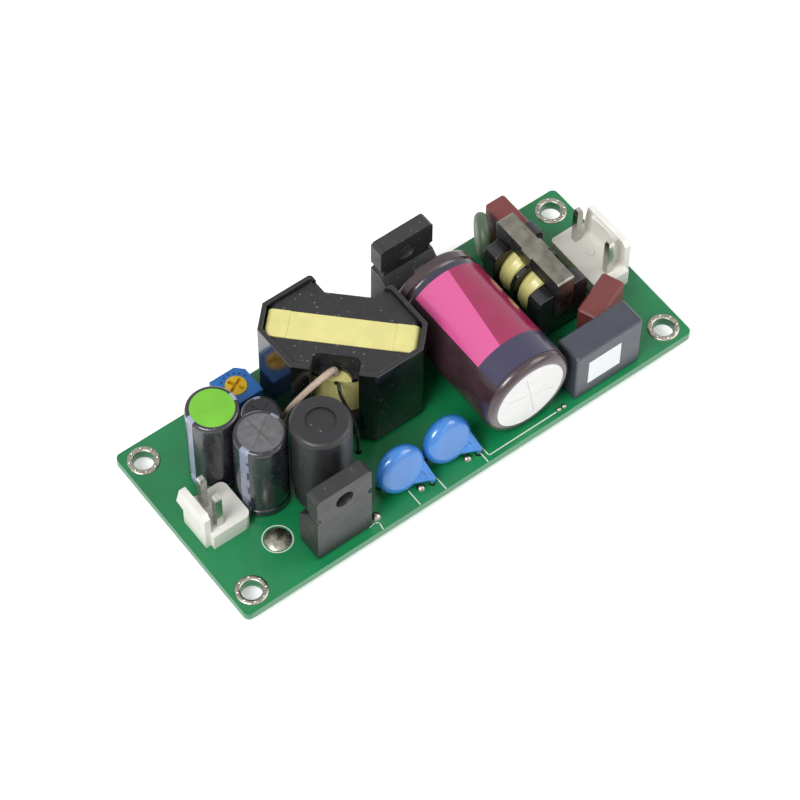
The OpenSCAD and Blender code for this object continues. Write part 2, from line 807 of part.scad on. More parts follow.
// Front mouth of core and shell, square with round corners.
module front_mouth(extra) {
    w = tx_mouth_w / 2 + extra;
    r = 1.2;
    translate([-w, -tx_w]) square([2 * w, tx_w - mouth_floor - r]);
    translate([-w + r, -tx_w]) square([2 * w - 2 * r, tx_w - mouth_floor]);
    for (x = [-1, 1])
        translate([x * (w - r), -mouth_floor - r]) circle(r);
}

// Rear mouth of core and shell, flared.
module rear_mouth(extra) {
    w = tx_mouth_w / 2 + extra;
    flare = tx_w / 2 - rear_mouth_floor + 1;
    polygon([
        [-w, rear_mouth_floor], [w, rear_mouth_floor],
        [w + flare, rear_mouth_floor + flare], [-w - flare, rear_mouth_floor + flare],
    ]);
}

// Side outline of the core with its rounded upper ends, grown by more.
module core_side(low, more = 0) {
    x = core_end + more;
    z = core_top + more;
    r = core_bend + more;
    translate([-x, low]) square([2 * x, z - r - low]);
    translate([-x + r, low]) square([2 * (x - r), z - low]);
    for (s = [-1, 1])
        translate([s * (x - r), z - r]) circle(r);
}

// Thin black shell round the core, open at both mouths.
module transformer_shell() {
    color("#1c1c1c") tx_frame(seat) difference() {
        linear_extrude(tx_h - seat) difference() {
            tx_outline(0);
            tx_outline(shell_t);
        }
        translate([0, 0, -1]) linear_extrude(tx_h + 2) {
            front_mouth(0);
            rear_mouth(0);
        }
    }
}

// Ferrite core: two plates, two outer legs and the centre post in one.
module transformer_core() {
    color("#3a3a3a") tx_frame() difference() {
        intersection() {
            translate([0, 0, core_z]) linear_extrude(core_top - core_z) tx_outline(shell_t + fit);
            rotate([90, 0, 0]) linear_extrude(2 * tx_w, center = true) core_side(0);
        }
        translate([0, 0, window_z0]) difference() {
            cylinder(d = core_window_d, h = window_z1 - window_z0);
            translate([0, 0, -1]) cylinder(d = core_post_d, h = tx_h);
        }
        difference() {
            translate([0, 0, -1]) linear_extrude(tx_h + 2) {
                front_mouth(0);
                rear_mouth(0);
            }
            translate([0, 0, -1]) cylinder(d = core_post_d, h = tx_h + 2);
        }
    }
}

// Bobbin: tube, two flanges and a pin rail in each mouth.
module transformer_bobbin() {
    tube_d = core_post_d + 1.6;
    flange_d = core_window_d - 4 * fit;
    color("#4a4038") tx_frame() difference() {
        union() {
            translate([0, 0, window_z0 + fit]) cylinder(d = tube_d, h = window_z1 - window_z0 - 2 * fit);
            translate([0, 0, window_z0 + fit]) cylinder(d = flange_d, h = flange_t);
            translate([0, 0, window_z1 - fit - flange_t]) cylinder(d = flange_d, h = flange_t);
            translate([0, 0, seat]) linear_extrude(window_z0 + flange_t - seat) intersection() {
                tx_outline(shell_t);
                union() {
                    translate([0, -fit]) front_mouth(-0.2);
                    translate([0, fit]) rear_mouth(-0.2);
                }
            }
        }
        cylinder(d = core_post_d + 2 * fit, h = tx_h);
        translate([0, -core_window_d / 2, window_z1 - flange_t - 1]) cylinder(d = 5, h = 5);
    }
}

// Taped winding that fills the bobbin between its flanges.
module transformer_winding() {
    low = window_z0 + fit + flange_t;
    high = window_z1 - fit - flange_t;
    color("khaki") tx_frame(low) difference() {
        cylinder(d = core_window_d - 0.6, h = high - low);
        translate([0, 0, -1]) cylinder(d = core_post_d + 1.6, h = tx_h);
        for (s = [-1, 1])
            translate([-tx_w, s > 0 ? rear_mouth_floor + 0.4 : -tx_w * 2 - mouth_floor - 2.1, -1])
                cube([2 * tx_w, tx_w * 2, tx_h]);
    }
}

// Tape band over the core, tucked down between its ends and the shell, with a
// second layer near each end.
module transformer_tape() {
    low = core_top - tape_drop;
    lap_x = core_end - tape_lap;
    color("khaki") tx_frame() intersection() {
        linear_extrude(tx_h) tx_outline(shell_t + fit);
        translate([0, tape_off, 0]) rotate([90, 0, 0]) linear_extrude(tape_w, center = true)
            difference() {
                union() {
                    core_side(low, tape_t);
                    difference() {
                        core_side(low, 2 * tape_t);
                        translate([-lap_x, 0]) square([2 * lap_x, 2 * tx_h]);
                    }
                }
                core_side(0);
            }
    }
}

module transformer_pins() {
    color("silver") leads(tx_pins, seat);
}

module secondary_lead() {
    color("tan") at(tx) swept_lead(curve(secondary_route, 3), 0.62, 0.36);
}

module sleeved_lead() {
    color("#202020") at(tx) swept_lead(curve(sleeved_route, 3), 0.3, 0.3);
}

// ------------------------------------------------------ bulk capacitor

bulk_disc_d = 12.9;
bulk_seal_d = 13;

// Lying frame: z of the children runs from the front end to the seal end.
module bulk_frame() {
    at(bulk, bulk_z) rotate([-90, 0, 0]) children();
}

module bulk_can() {
    r = bulk_d / 2;
    color("#5a4448") bulk_frame() difference() {
        rotate_extrude() difference() {
            union() {
                square([r - 1.2, bulk_l]);
                translate([0, 1.2]) square([r, bulk_l - 1.9]);
                translate([r - 1.2, 1.2]) circle(1.2);
                translate([r - 0.7, bulk_l - 0.7]) circle(0.7);
            }
            translate([r + 0.5, bulk_l - 2.6]) circle(0.9);
            translate([-r, -1]) square([r, bulk_l + 2]);
        }
        translate([0, 0, -1]) cylinder(d = bulk_disc_d, h = 1.3);
        translate([0, 0, bulk_l - 0.8]) cylinder(d = bulk_seal_d, h = 2);
    }
}

// White end disc with crossed vent scores.
module bulk_end_disc() {
    color("white") bulk_frame() difference() {
        cylinder(d = bulk_disc_d - 2 * fit, h = 0.3);
        for (a = [20, 80, 200, 260])
            rotate(a) translate([0, -0.1, -1]) cube([bulk_disc_d / 2 - 1.5, 0.2, 1.1]);
    }
}

// Rubber seal with a low boss.
module bulk_seal() {
    color("#222222") bulk_frame() translate([0, 0, bulk_l - 0.8]) {
        cylinder(d = bulk_seal_d - 2 * fit, h = 0.6);
        cylinder(d = bulk_seal_d - 3, h = 0.8);
    }
}

// Bent leads: out of the seal, round a bend and down through the board.
module bulk_leads() {
    reach = bulk_lead_reach;
    bend = 0.4;
    color("silver") for (p = bulk_pins)
        at([p.x, bulk.y + bulk_l]) swept_lead([
            [0, 0, bulk_z], [0, reach - 2 * bend, bulk_z], [0, reach - 0.6 * bend, bulk_z - 0.6 * bend],
            [0, reach, bulk_z - 2 * bend], [0, reach, lead_end],
        ], lead_d / 2, lead_d / 2);
}

// ----------------------------------------------------- disc capacitors

disc_lift = 0.3;
disc_tip_r = 0.5;
disc_tip_z = 1.4;
disc_foot_z = 0.7;
disc_webs = [[8, -35, -75], [215]];

// Tapered round neck from a to b.
module neck(a, b, r0, r1) {
    d = b - a;
    translate(a) rotate([0, acos(d.z / norm(d)), atan2(d.y, d.x)]) cylinder(h = norm(d), r1 = r0, r2 = r1);
}

// Dipped disc that leans back, its coat drawn out to a foot on each lead.
module disc_body(c) {
    places = disc_leads([0, 0]);
    at(c, disc_lift) {
        translate([0, -disc_d / 2 * sin(disc_lean), 0]) rotate([-disc_lean, 0, 0])
            dipped_disc(disc_d, disc_t);
        for (i = [0, 1]) {
            tip = [places[i].x, places[i].y, disc_tip_z];
            for (a = disc_webs[i]) {
                p = polar(0.34 * disc_d, a);
                start = [p.x, p.y * sin(disc_lean), disc_d / 2 * cos(disc_lean) + p.y * cos(disc_lean)];
                neck(start, tip, disc_t / 2 - 0.35, disc_tip_r - 0.04);
            }
            translate(tip) sphere(disc_tip_r);
            translate([tip.x, tip.y, disc_foot_z]) cylinder(r = disc_tip_r, h = disc_tip_z - disc_foot_z);
        }
    }
}

module disc_wires(c) {
    leads(disc_leads(c), disc_lift + disc_foot_z);
}

module disc_capacitor_a() {
    color("deepskyblue") disc_body(disc_a);
}

module disc_capacitor_a_leads() {
    color("silver") disc_wires(disc_a);
}

module disc_capacitor_b() {
    color("deepskyblue") disc_body(disc_b);
}

module disc_capacitor_b_leads() {
    color("silver") disc_wires(disc_b);
}

// ------------------------------------------------------ film capacitor

module film_capacitor() {
    color("dimgray") at(film + [film_l, film_w] / 2) soft_box(film_l, film_w, film_h, 0.4);
}

module film_capacitor_leads() {
    color("silver") leads(film_pins, 0);
}

// --------------------------------------------------------- line choke

line_core_off = 0.35;
line_coil_lift = 1.9;
line_bar_z = line_coil_lift + line_coil_d / 2;
line_wall_t = 0.9;
clip_t = 0.2;
clip_bend = 0.5;

// Closed ferrite frame: the lower bar carries the windings.
module line_choke_core() {
    low = line_bar_z - line_bar_t / 2;
    color("#303030") at(line + [0, line_core_off]) difference() {
        translate([-line_core_w / 2, -line_core_l / 2, low])
            cube([line_core_w, line_core_l, line_core_h - low]);
        translate([-line_core_w, line_bar_t - line_core_l / 2, low + line_bar_t])
            cube([2 * line_core_w, line_core_l - 2 * line_bar_t, line_core_h - low - 2 * line_bar_t]);
    }
}

// Upright wall across the choke, w wide, h high and t thick, with eased upper corners.
module bobbin_wall(w, h, t, ease) {
    rotate([90, 0, 0]) linear_extrude(t, center = true) polygon([
        [-w / 2, 0], [w / 2, 0], [w / 2, h - ease], [w / 2 - 0.3 * ease, h - 0.3 * ease],
        [w / 2 - ease, h], [ease - w / 2, h], [0.3 * ease - w / 2, h - 0.3 * ease], [-w / 2, h - ease],
    ]);
}

// Bobbin: a slotted end block at each end, a thin middle flange and a tube.
module line_choke_bobbin() {
    slot_w = line_core_w + 2 * fit;
    low = line_bar_z - line_bar_t / 2 - fit;
    leg_l = line_bar_t + 2 * line_core_off + fit;
    color("#26282a") at(line) difference() {
        union() {
            for (y = [-1, 1])
                translate([0, y * (line_l - line_block_l) / 2, 0])
                    bobbin_wall(line_w, line_h, line_block_l, 1.2);
            translate([0, 0, 1]) bobbin_wall(line_w - 0.6, line_h - 1, line_wall_t - 2 * fit, 2.4);
            translate([-slot_w / 2 - 0.5, 1 - line_l / 2, low - 0.5])
                cube([slot_w + 1, line_l - 2, line_bar_t + 2 * fit + 1]);
        }
        translate([-slot_w / 2, -line_l, low]) cube([slot_w, 2 * line_l, line_bar_t + 2 * fit]);
        translate([-slot_w / 2, -line_core_l / 2 - line_core_off, low]) cube([slot_w, leg_l, line_h]);
        translate([-slot_w / 2, line_core_l / 2 + line_core_off - leg_l, low]) cube([slot_w, leg_l, line_h]);
        for (y = [-1, 1])
            translate([0, y * line_l / 2, 0]) cube([line_w - 3, 1.6, 2.4], center = true);
    }
}

// Two taped windings round the tube, barrel shaped, one on each side of the middle flange.
module line_choke_windings() {
    inner = norm([line_core_w + 2 * fit + 1, line_bar_t + 2 * fit + 1]) + fit;
    l = line_l / 2 - line_block_l - line_wall_t / 2 - 2 * fit;
    r = line_coil_d / 2;
    bar_z = line_core_h - line_bar_t - fit - line_bar_z;
    color("khaki") for (y = [-1, 1])
        at(line + [0, y * (l + line_wall_t + 2 * fit) / 2], line_bar_z) rotate([90, 0, 0]) difference() {
            rotate_extrude() polygon([
                [0, -l / 2], [r - 0.9, -l / 2], [r - 0.25, -l / 2 + 0.6], [r, 0],
                [r - 0.25, l / 2 - 0.6], [r - 0.9, l / 2], [0, l / 2],
            ]);
            cylinder(d = inner, h = l + 1, center = true);
            translate([-r, bar_z, -l]) cube([2 * r, r, 2 * l]);
        }
}

// Plated clip bent down over both ends of the core, with a tongue down each side.
module line_choke_clip() {
    half_l = line_core_l / 2 + fit;
    end = half_l + clip_t;
    w = line_core_w - 2 * fit;
    tongue_w = 2.4;
    tongue_drop = 2.6;
    spread = line_core_w + 2 * fit + 2 * clip_t;
    color("gainsboro") at(line + [0, line_core_off], line_core_h) {
        rotate([90, 0, 90]) linear_extrude(w, center = true) difference() {
            union() {
                translate([-end, -clip_drop]) square([2 * end, clip_drop + clip_t - clip_bend]);
                translate([clip_bend - end, -clip_drop]) square([2 * (end - clip_bend), clip_drop + clip_t]);
                for (y = [-1, 1])
                    translate([y * (end - clip_bend), clip_t - clip_bend]) circle(clip_bend);
            }
            translate([-half_l, -clip_drop - 1]) square([2 * half_l, clip_drop + 1]);
        }
        difference() {
            translate([-spread / 2, -tongue_w / 2, -tongue_drop])
                cube([spread, tongue_w, tongue_drop + clip_t]);
            translate([clip_t - spread / 2, -tongue_w, -tongue_drop - 1])
                cube([spread - 2 * clip_t, 2 * tongue_w, tongue_drop + 1]);
        }
    }
}

module line_choke_pins() {
    color("silver") leads(line_pins, 0);
}

// ------------------------------------------------- thermistor and fuses

module thermistor() {
    color("#4f6a50") at(ntc, ntc_lift) rotate(ntc_turn) dipped_disc(ntc_d, ntc_t);
}

module thermistor_leads() {
    r = ntc_d / 2;
    inner = (ntc_pitch - lead_d) / 2;
    color("silver") leads(ntc_pins, ntc_lift + r - sqrt(r * r - inner * inner));
}

module rear_fuse() {
    color("#8a4038") at(rear_fuse_at, seat) soft_box(rear_fuse_w, rear_fuse_l, fuse_h - seat, 0.5);
}

module front_fuse() {
    color("#8a4038") at(front_fuse_at, seat) rotate(fuse_turn) soft_box(fuse_l, fuse_w, fuse_h - seat, 0.5);
}

module fuse_leads() {
    color("silver") leads(fuse_pins, seat);
}

// ---------------------------------------------------- underside parts

// Flat chip hung under the board, with gull-wing leads along its two long sides.
module chip(p, l, h, pins, pitch) {
    lead_w = 0.4;
    at(p, -board_t) mirror([0, 0, 1]) {
        translate([-l / 2, -chip_w / 2, 0.1]) cube([l, chip_w, h - 0.1]);
        for (i = [0:pins - 1], y = [-1, 1])
            translate([(i - (pins - 1) / 2) * pitch - lead_w / 2, y * (chip_w + 1) / 2 - 0.5, 0])
                cube([lead_w, 1, 0.2]);
    }
}

module bridge_rectifier() {
    color("#2b2b2b") chip(bulk + [2, 6], chip_l, chip_h, 2, 2.6);
}

module controller_chip() {
    color("#2b2b2b") chip(bulk + [-4, 12], chip_l, chip_h, 4, 1.27);
}

module optocoupler() {
    color("#33302c") chip(tx + [0.5, -13.8], opto_l, chip_h + 0.3, 2, 2.54);
}

// Rows of chip resistors and capacitors.
module chip_parts() {
    step = [tiny_l + 1, tiny_w + 1.2];
    color("#3b3b3b")
        for (start = [bulk + [-4.5, 17], tx + [-3.5, -2]], i = [0:3], j = [0, 1])
            at(start + [i * step.x, j * step.y], -board_t - tiny_h)
                translate([-tiny_l / 2, -tiny_w / 2, 0]) cube([tiny_l, tiny_w, tiny_h]);
}

// ----------------------------------------------------------- assembly

circuit_board();
mounting_rings();
top_solder();
solder_joints();
output_header();
output_header_pins();
input_header();
input_header_pins();
output_capacitor_a();
output_capacitor_a_top();
output_capacitor_a_leads();
output_capacitor_b();
output_capacitor_b_top();
output_capacitor_b_leads();
small_capacitor();
small_capacitor_top();
small_capacitor_leads();
drum_choke_sleeve();
drum_choke_core();
drum_choke_leads();
rectifier_body();
rectifier_leads();
transistor_body();
transistor_leads();
trimmer_body();
trimmer_rotor();
trimmer_pins();
transformer_shell();
transformer_core();
transformer_bobbin();
transformer_winding();
transformer_tape();
transformer_pins();
secondary_lead();
sleeved_lead();
bulk_can();
bulk_end_disc();
bulk_seal();
bulk_leads();
disc_capacitor_a();
disc_capacitor_a_leads();
disc_capacitor_b();
disc_capacitor_b_leads();
film_capacitor();
film_capacitor_leads();
line_choke_core();
line_choke_bobbin();
line_choke_windings();
line_choke_clip();
line_choke_pins();
thermistor();
thermistor_leads();
rear_fuse();
front_fuse();
fuse_leads();
bridge_rectifier();
controller_chip();
optocoupler();
chip_parts();
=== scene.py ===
"""Looks of the open frame power supply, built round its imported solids."""

import math

import bmesh
import bpy
from mathutils import Matrix, Vector


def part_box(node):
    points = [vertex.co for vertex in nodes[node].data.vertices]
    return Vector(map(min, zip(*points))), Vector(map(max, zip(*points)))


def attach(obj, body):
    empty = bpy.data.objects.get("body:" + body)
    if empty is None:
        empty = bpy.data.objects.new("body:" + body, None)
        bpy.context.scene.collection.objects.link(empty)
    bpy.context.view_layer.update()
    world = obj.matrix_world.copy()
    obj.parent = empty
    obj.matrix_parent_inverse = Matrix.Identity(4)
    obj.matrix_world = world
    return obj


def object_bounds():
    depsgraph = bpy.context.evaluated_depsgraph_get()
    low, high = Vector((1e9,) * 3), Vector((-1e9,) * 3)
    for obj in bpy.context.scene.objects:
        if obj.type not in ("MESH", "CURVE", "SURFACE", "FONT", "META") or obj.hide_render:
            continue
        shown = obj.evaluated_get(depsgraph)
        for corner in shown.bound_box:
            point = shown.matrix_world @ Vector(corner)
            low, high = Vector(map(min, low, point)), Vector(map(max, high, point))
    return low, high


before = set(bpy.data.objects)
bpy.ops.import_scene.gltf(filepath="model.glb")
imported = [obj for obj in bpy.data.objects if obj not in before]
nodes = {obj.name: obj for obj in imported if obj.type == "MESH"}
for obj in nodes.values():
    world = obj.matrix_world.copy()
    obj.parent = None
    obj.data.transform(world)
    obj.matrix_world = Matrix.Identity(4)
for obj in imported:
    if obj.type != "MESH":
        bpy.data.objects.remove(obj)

MM = 0.001
BOARD = "board"
INK = 0.03 * MM

cad_low, cad_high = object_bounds()
board_high = Vector(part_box("circuit_board")[1])
TOP = board_high.z

# Places of print on the board, in millimetres from its middle.
BLOB = (-31.87, -9.47)
PRINT_WIDTH = 0.17
BLOB_RING_RADIUS = 2.4
RING_STEPS = 40
PRINT_PATHS = (
    [(-10.7, -14.6), (-10.7, -17.5)],
    [(-5.8, -15.3), (-5.8, -17.6)],
    [(2.42, -15.5), (2.42, -17.6)],
    [(3.2, -14.85), (3.23, -16.8), (16.5, -16.8)],
    [(-19.3, -16.2), (-18.3, -16.0), (-17.7, -16.4), (-17.9, -17.6)],
)

# Label of the lying can: ends along Y and edges round it, in degrees from the top.
LABEL_NEAR, LABEL_FAR = -14.6, 6.9
LABEL_LEFT, LABEL_RIGHT = -45.0, 57.0
LABEL_CLEAR, LABEL_THICK = 0.04, 0.06
LABEL_STEPS = 56
NAVY_END, STRIP_START = -10.0, 5.9
# Edge of the painted pink sheen highlight on the label's upper left, in degrees from the top: its slope per
# millimetre along Y, and its shift.
SHEEN_EDGE_SLOPE, SHEEN_EDGE_SHIFT = 0.973, -1.38

# Sticker of the film capacitor: corners along X and up from the board.
STICKER_LEFT, STICKER_RIGHT = 22.6, 29.0
STICKER_FOOT, STICKER_HEAD = 2.9, 8.4
STICKER_THICK = 0.08

# Solder beads on the mounting rings, and the spacing of the mounting holes.
HOLES = Vector((80.5058, 28.8015))
BEADS, BEAD_CIRCLE, BEAD_RADIUS, BEAD_LIFT = 8, 2.2, 0.27, 0.16

# Tick marks round the trimmer's rotor.
TICKS, TICK_FIRST, TICK_STEP = 11, 20, 22
TICK_CIRCLE, TICK_RADIUS, TICK_THICK = 2.35, 0.2, 0.04


def middle(node):
    """Centre of a node's box."""
    low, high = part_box(node)
    return (Vector(low) + Vector(high)) / 2


def upper(node):
    """Centre of a node's upper face."""
    place = middle(node)
    place.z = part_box(node)[1][2]
    return place


# ------------------------------------------------------------ node groups

def new_group(name, inputs, outputs):
    """Empty shader group with named sockets: (name, kind, default)."""
    group = bpy.data.node_groups.new(name, "ShaderNodeTree")
    for label, kind, value in inputs:
        socket = group.interface.new_socket(label, in_out="INPUT", socket_type=kind)
        if value is not None:
            socket.default_value = value
    for label, kind in outputs:
        group.interface.new_socket(label, in_out="OUTPUT", socket_type=kind)
    return group, group.nodes.new("NodeGroupInput"), group.nodes.new("NodeGroupOutput")


def maths(tree, operation, first, second=None):
    """Math node; each input is a socket or a number."""
    node = tree.nodes.new("ShaderNodeMath")
    node.operation = operation
    for slot, value in enumerate((first, second)):
        if isinstance(value, (int, float)):
            node.inputs[slot].default_value = value
        elif value is not None:
            tree.links.new(value, node.inputs[slot])
    return node.outputs["Value"]


def blend_colours(tree, mask, low, high):
    """Mix two colours by a mask; each is a socket or a colour."""
    node = tree.nodes.new("ShaderNodeMix")
    node.data_type = "RGBA"
    tree.links.new(mask, node.inputs["Factor"])
    for label, value in (("A", low), ("B", high)):
        if isinstance(value, tuple):
            node.inputs[label].default_value = value
        else:
            tree.links.new(value, node.inputs[label])
    return node.outputs["Result"]


def build_blotch():
    """Soft cloudy change between two colours, with its mask."""
    group, enter, leave = new_group(
        "blotch",
        [
            ("Vector", "NodeSocketVector", None),
            ("Scale", "NodeSocketFloat", 300.0),
            ("Low", "NodeSocketColor", (0, 0, 0, 1)),
            ("High", "NodeSocketColor", (1, 1, 1, 1)),
        ],
        [("Color", "NodeSocketColor"), ("Mask", "NodeSocketFloat")],
    )
    noise = group.nodes.new("ShaderNodeTexNoise")
    noise.inputs["Detail"].default_value = 4
    spread = group.nodes.new("ShaderNodeMapRange")
    spread.inputs["From Min"].default_value = 0.32
    spread.inputs["From Max"].default_value = 0.68
    link = group.links.new
    link(enter.outputs["Vector"], noise.inputs["Vector"])
    link(enter.outputs["Scale"], noise.inputs["Scale"])
    link(noise.outputs["Fac"], spread.inputs["Value"])
    low, high = enter.outputs["Low"], enter.outputs["High"]
    mixed = blend_colours(group, spread.outputs["Result"], low, high)
    link(mixed, leave.inputs["Color"])
    link(spread.outputs["Result"], leave.inputs["Mask"])
    return group


def build_grain():
    """Fine surface grain as a normal."""
    group, enter, leave = new_group(
        "grain",
        [
            ("Vector", "NodeSocketVector", None),
            ("Scale", "NodeSocketFloat", 3000.0),
            ("Strength", "NodeSocketFloat", 0.2),
        ],
        [("Normal", "NodeSocketVector")],
    )
    noise = group.nodes.new("ShaderNodeTexNoise")
    noise.inputs["Detail"].default_value = 2
    bump = group.nodes.new("ShaderNodeBump")
    bump.inputs["Distance"].default_value = 0.0001
    link = group.links.new
    link(enter.outputs["Vector"], noise.inputs["Vector"])
    link(enter.outputs["Scale"], noise.inputs["Scale"])
    link(enter.outputs["Strength"], bump.inputs["Strength"])
    link(noise.outputs["Fac"], bump.inputs["Height"])
    link(bump.outputs["Normal"], leave.inputs["Normal"])
    return group


SPECK_REACH = 0.13


def build_dust():
    """Sparse pale specks as a mask, one near each cell's seed."""
    group, enter, leave = new_group(
        "dust",
        [("Vector", "NodeSocketVector", None), ("Scale", "NodeSocketFloat", 900.0)],
        [("Mask", "NodeSocketFloat")],
    )
    cells = group.nodes.new("ShaderNodeTexVoronoi")
    link = group.links.new
    link(enter.outputs["Vector"], cells.inputs["Vector"])
    link(enter.outputs["Scale"], cells.inputs["Scale"])
    near = maths(group, "LESS_THAN", cells.outputs["Distance"], SPECK_REACH)
    link(near, leave.inputs["Mask"])
    return group


BLOTCH = build_blotch()
GRAIN = build_grain()
DUST = build_dust()


def colour(r, g, b):
    """Linear colour from display values of 0 to 255."""
    def linear(value):
        value /= 255
        return value / 12.92 if value <= 0.04045 else ((value + 0.055) / 1.055) ** 2.4
    return (linear(r), linear(g), linear(b), 1.0)


PALE_DUST = colour(200, 200, 200)


def shade(tint, factor):
    """The same colour, darker or lighter."""
    return tuple(min(1.0, part * factor) for part in tint[:3]) + (1.0,)


def tones(r, g, b, spread=0.85):
    """A colour and its darker cloud."""
    tint = colour(r, g, b)
    return shade(tint, spread), tint


def add_group(tree, group):
    """Place a node group in a material, under the group's own name."""
    node = tree.nodes.new("ShaderNodeGroup")
    node.node_tree = group
    node.name = group.name
    return node


def material(name, low, high, rough=(0.4, 0.5), cloud=400, grain=(3000, 0.15),
             metal=0.0, coat=0.0, dust=0.0):
    """Cloudy two-tone material with its own roughness change and surface grain."""
    made = bpy.data.materials.new(name)
    made.use_nodes = True
    tree = made.node_tree
    shader = tree.nodes["Principled BSDF"]
    shader.inputs["Metallic"].default_value = metal
    shader.inputs["Coat Weight"].default_value = coat
    shader.inputs["Coat Roughness"].default_value = 0.12
    place = tree.nodes.new("ShaderNodeTexCoord")
    blotch = add_group(tree, BLOTCH)
    blotch.inputs["Scale"].default_value = cloud
    blotch.inputs["Low"].default_value = low
    blotch.inputs["High"].default_value = high
    gloss = tree.nodes.new("ShaderNodeMapRange")
    gloss.inputs["To Min"].default_value = rough[0]
    gloss.inputs["To Max"].default_value = rough[1]
    bump = add_group(tree, GRAIN)
    bump.inputs["Scale"].default_value = grain[0]
    bump.inputs["Strength"].default_value = grain[1]
    link = tree.links.new
    link(place.outputs["Object"], blotch.inputs["Vector"])
    link(place.outputs["Object"], bump.inputs["Vector"])
    paint = blotch.outputs["Color"]
    if dust:
        specks = add_group(tree, DUST)
        link(place.outputs["Object"], specks.inputs["Vector"])
        shown = maths(tree, "MULTIPLY", specks.outputs["Mask"], dust)
        paint = blend_colours(tree, shown, paint, PALE_DUST)
    link(paint, shader.inputs["Base Color"])
    link(blotch.outputs["Mask"], gloss.inputs["Value"])
    link(gloss.outputs["Result"], shader.inputs["Roughness"])
    link(bump.outputs["Normal"], shader.inputs["Normal"])
    return made


def repaint(made, mask, tint):
    """Lay another colour over a material where the mask is 1."""
    tree = made.node_tree
    base = tree.nodes["Principled BSDF"].inputs["Base Color"]
    under = base.links[0].from_socket
    tree.links.new(blend_colours(tree, mask(tree), under, tint), base)


def split_place(tree, centre=(0, 0, 0)):
    """Object coordinates in millimetres from a centre, as three sockets."""
    place = tree.nodes.new("ShaderNodeTexCoord")
    shift = tree.nodes.new("ShaderNodeMapping")
    shift.vector_type = "TEXTURE"
    shift.inputs["Location"].default_value = centre
    shift.inputs["Scale"].default_value = (MM, MM, MM)
    apart = tree.nodes.new("ShaderNodeSeparateXYZ")
    tree.links.new(place.outputs["Object"], shift.inputs["Vector"])
    tree.links.new(shift.outputs["Vector"], apart.inputs["Vector"])
    return apart.outputs["X"], apart.outputs["Y"], apart.outputs["Z"]


def within(tree, value, low, high):
    """1 where a value lies between two bounds."""
    above = maths(tree, "GREATER_THAN", value, low)
    below = maths(tree, "LESS_THAN", value, high)
    return maths(tree, "MULTIPLY", above, below)


def bearing(tree, across, ahead):
    """Angle in degrees from the ahead axis towards the across axis."""
    return maths(tree, "MULTIPLY", maths(tree, "ARCTAN2", across, ahead), 180 / math.pi)


# -------------------------------------------------------------- materials

MASK = material("solder_mask", *tones(14, 122, 70, 0.8), rough=(0.3, 0.4), cloud=120,
                grain=(5000, 0.05), coat=0.15)
SILK = material("silk_ink", *tones(214, 222, 214), rough=(0.5, 0.6))
TIN = material("tin", *tones(176, 172, 158, 0.6), rough=(0.22, 0.42), cloud=1500, metal=1.0)
STEEL = material("plated_steel", *tones(150, 146, 136, 0.6), rough=(0.24, 0.4), cloud=500, metal=1.0)
PIN = material("header_pin", *tones(206, 204, 198, 0.7), rough=(0.16, 0.3), cloud=700, metal=1.0)
NYLON = material("nylon", *tones(226, 225, 218, 0.93), rough=(0.38, 0.5), cloud=400, coat=0.1)
ALUMINIUM = material("aluminium", *tones(120, 120, 122, 0.75), rough=(0.35, 0.5), cloud=900, metal=0.8)
DARK_TOP = material("dark_can_top", *tones(46, 44, 50, 0.75), rough=(0.4, 0.5))
GREEN_DOT = material("green_dot", *tones(112, 184, 52), rough=(0.4, 0.5))
SHRINK = material("shrink_tube", *tones(34, 34, 37, 0.7), rough=(0.4, 0.52), cloud=500, grain=(900, 0.25))
CORD_BLACK = material("lead_sleeve", *tones(20, 20, 22, 0.6), rough=(0.25, 0.4))
FERRITE = material("ferrite", *tones(32, 32, 35, 0.6), rough=(0.4, 0.6), cloud=1200,
                   grain=(5000, 0.3), dust=0.2)
MOULD = material("mould_compound", *tones(42, 42, 44, 0.8), rough=(0.4, 0.52), grain=(7000, 0.3), dust=0.12)
TRIM_BLUE = material("trimmer_blue", *tones(34, 104, 178), rough=(0.4, 0.5))
TRIM_GOLD = material("trimmer_gold", *tones(214, 172, 20), rough=(0.4, 0.5))
DEEP_BLUE = material("tick_blue", *tones(12, 48, 96), rough=(0.5, 0.6))
SHELL = material("black_shell", *tones(16, 16, 18, 0.6), rough=(0.14, 0.24), coat=0.4, dust=0.1)
BOBBIN = material("bobbin", *tones(28, 28, 31, 0.7), rough=(0.22, 0.36), coat=0.3)
TAPE = material("tape", *tones(214, 206, 132, 0.9), rough=(0.22, 0.34), coat=0.3)
LITZ = material("litz", *tones(190, 170, 152, 0.7), rough=(0.6, 0.75), cloud=3000, grain=(4000, 0.6))
BULK = material("bulk_sleeve", *tones(62, 44, 49, 0.75), rough=(0.2, 0.3), coat=0.4)
WHITE = material("white_disc", *tones(226, 225, 224, 0.94), rough=(0.4, 0.5))
RUBBER = material("rubber", *tones(30, 30, 30), rough=(0.6, 0.7))
DISC_BLUE = material("disc_blue", *tones(52, 124, 200), rough=(0.2, 0.3), coat=0.6)
FILM = material("film_case", *tones(62, 66, 76), rough=(0.36, 0.46), grain=(6000, 0.2))
NTC = material("thermistor", *tones(74, 92, 72), rough=(0.42, 0.55))
FUSE = material("fuse_case", *tones(112, 54, 50), rough=(0.42, 0.54))
STICKER = material("sticker", *tones(226, 228, 230, 0.96), rough=(0.5, 0.6))


# Column of minus signs on a can's sleeve, in millimetres, and their half width in degrees.
MINUS_PITCH, MINUS_LENGTH = 4.0, 1.9
MINUS_FOOT, MINUS_HEAD = 1.5, 2.5
MINUS_SPREAD = 5


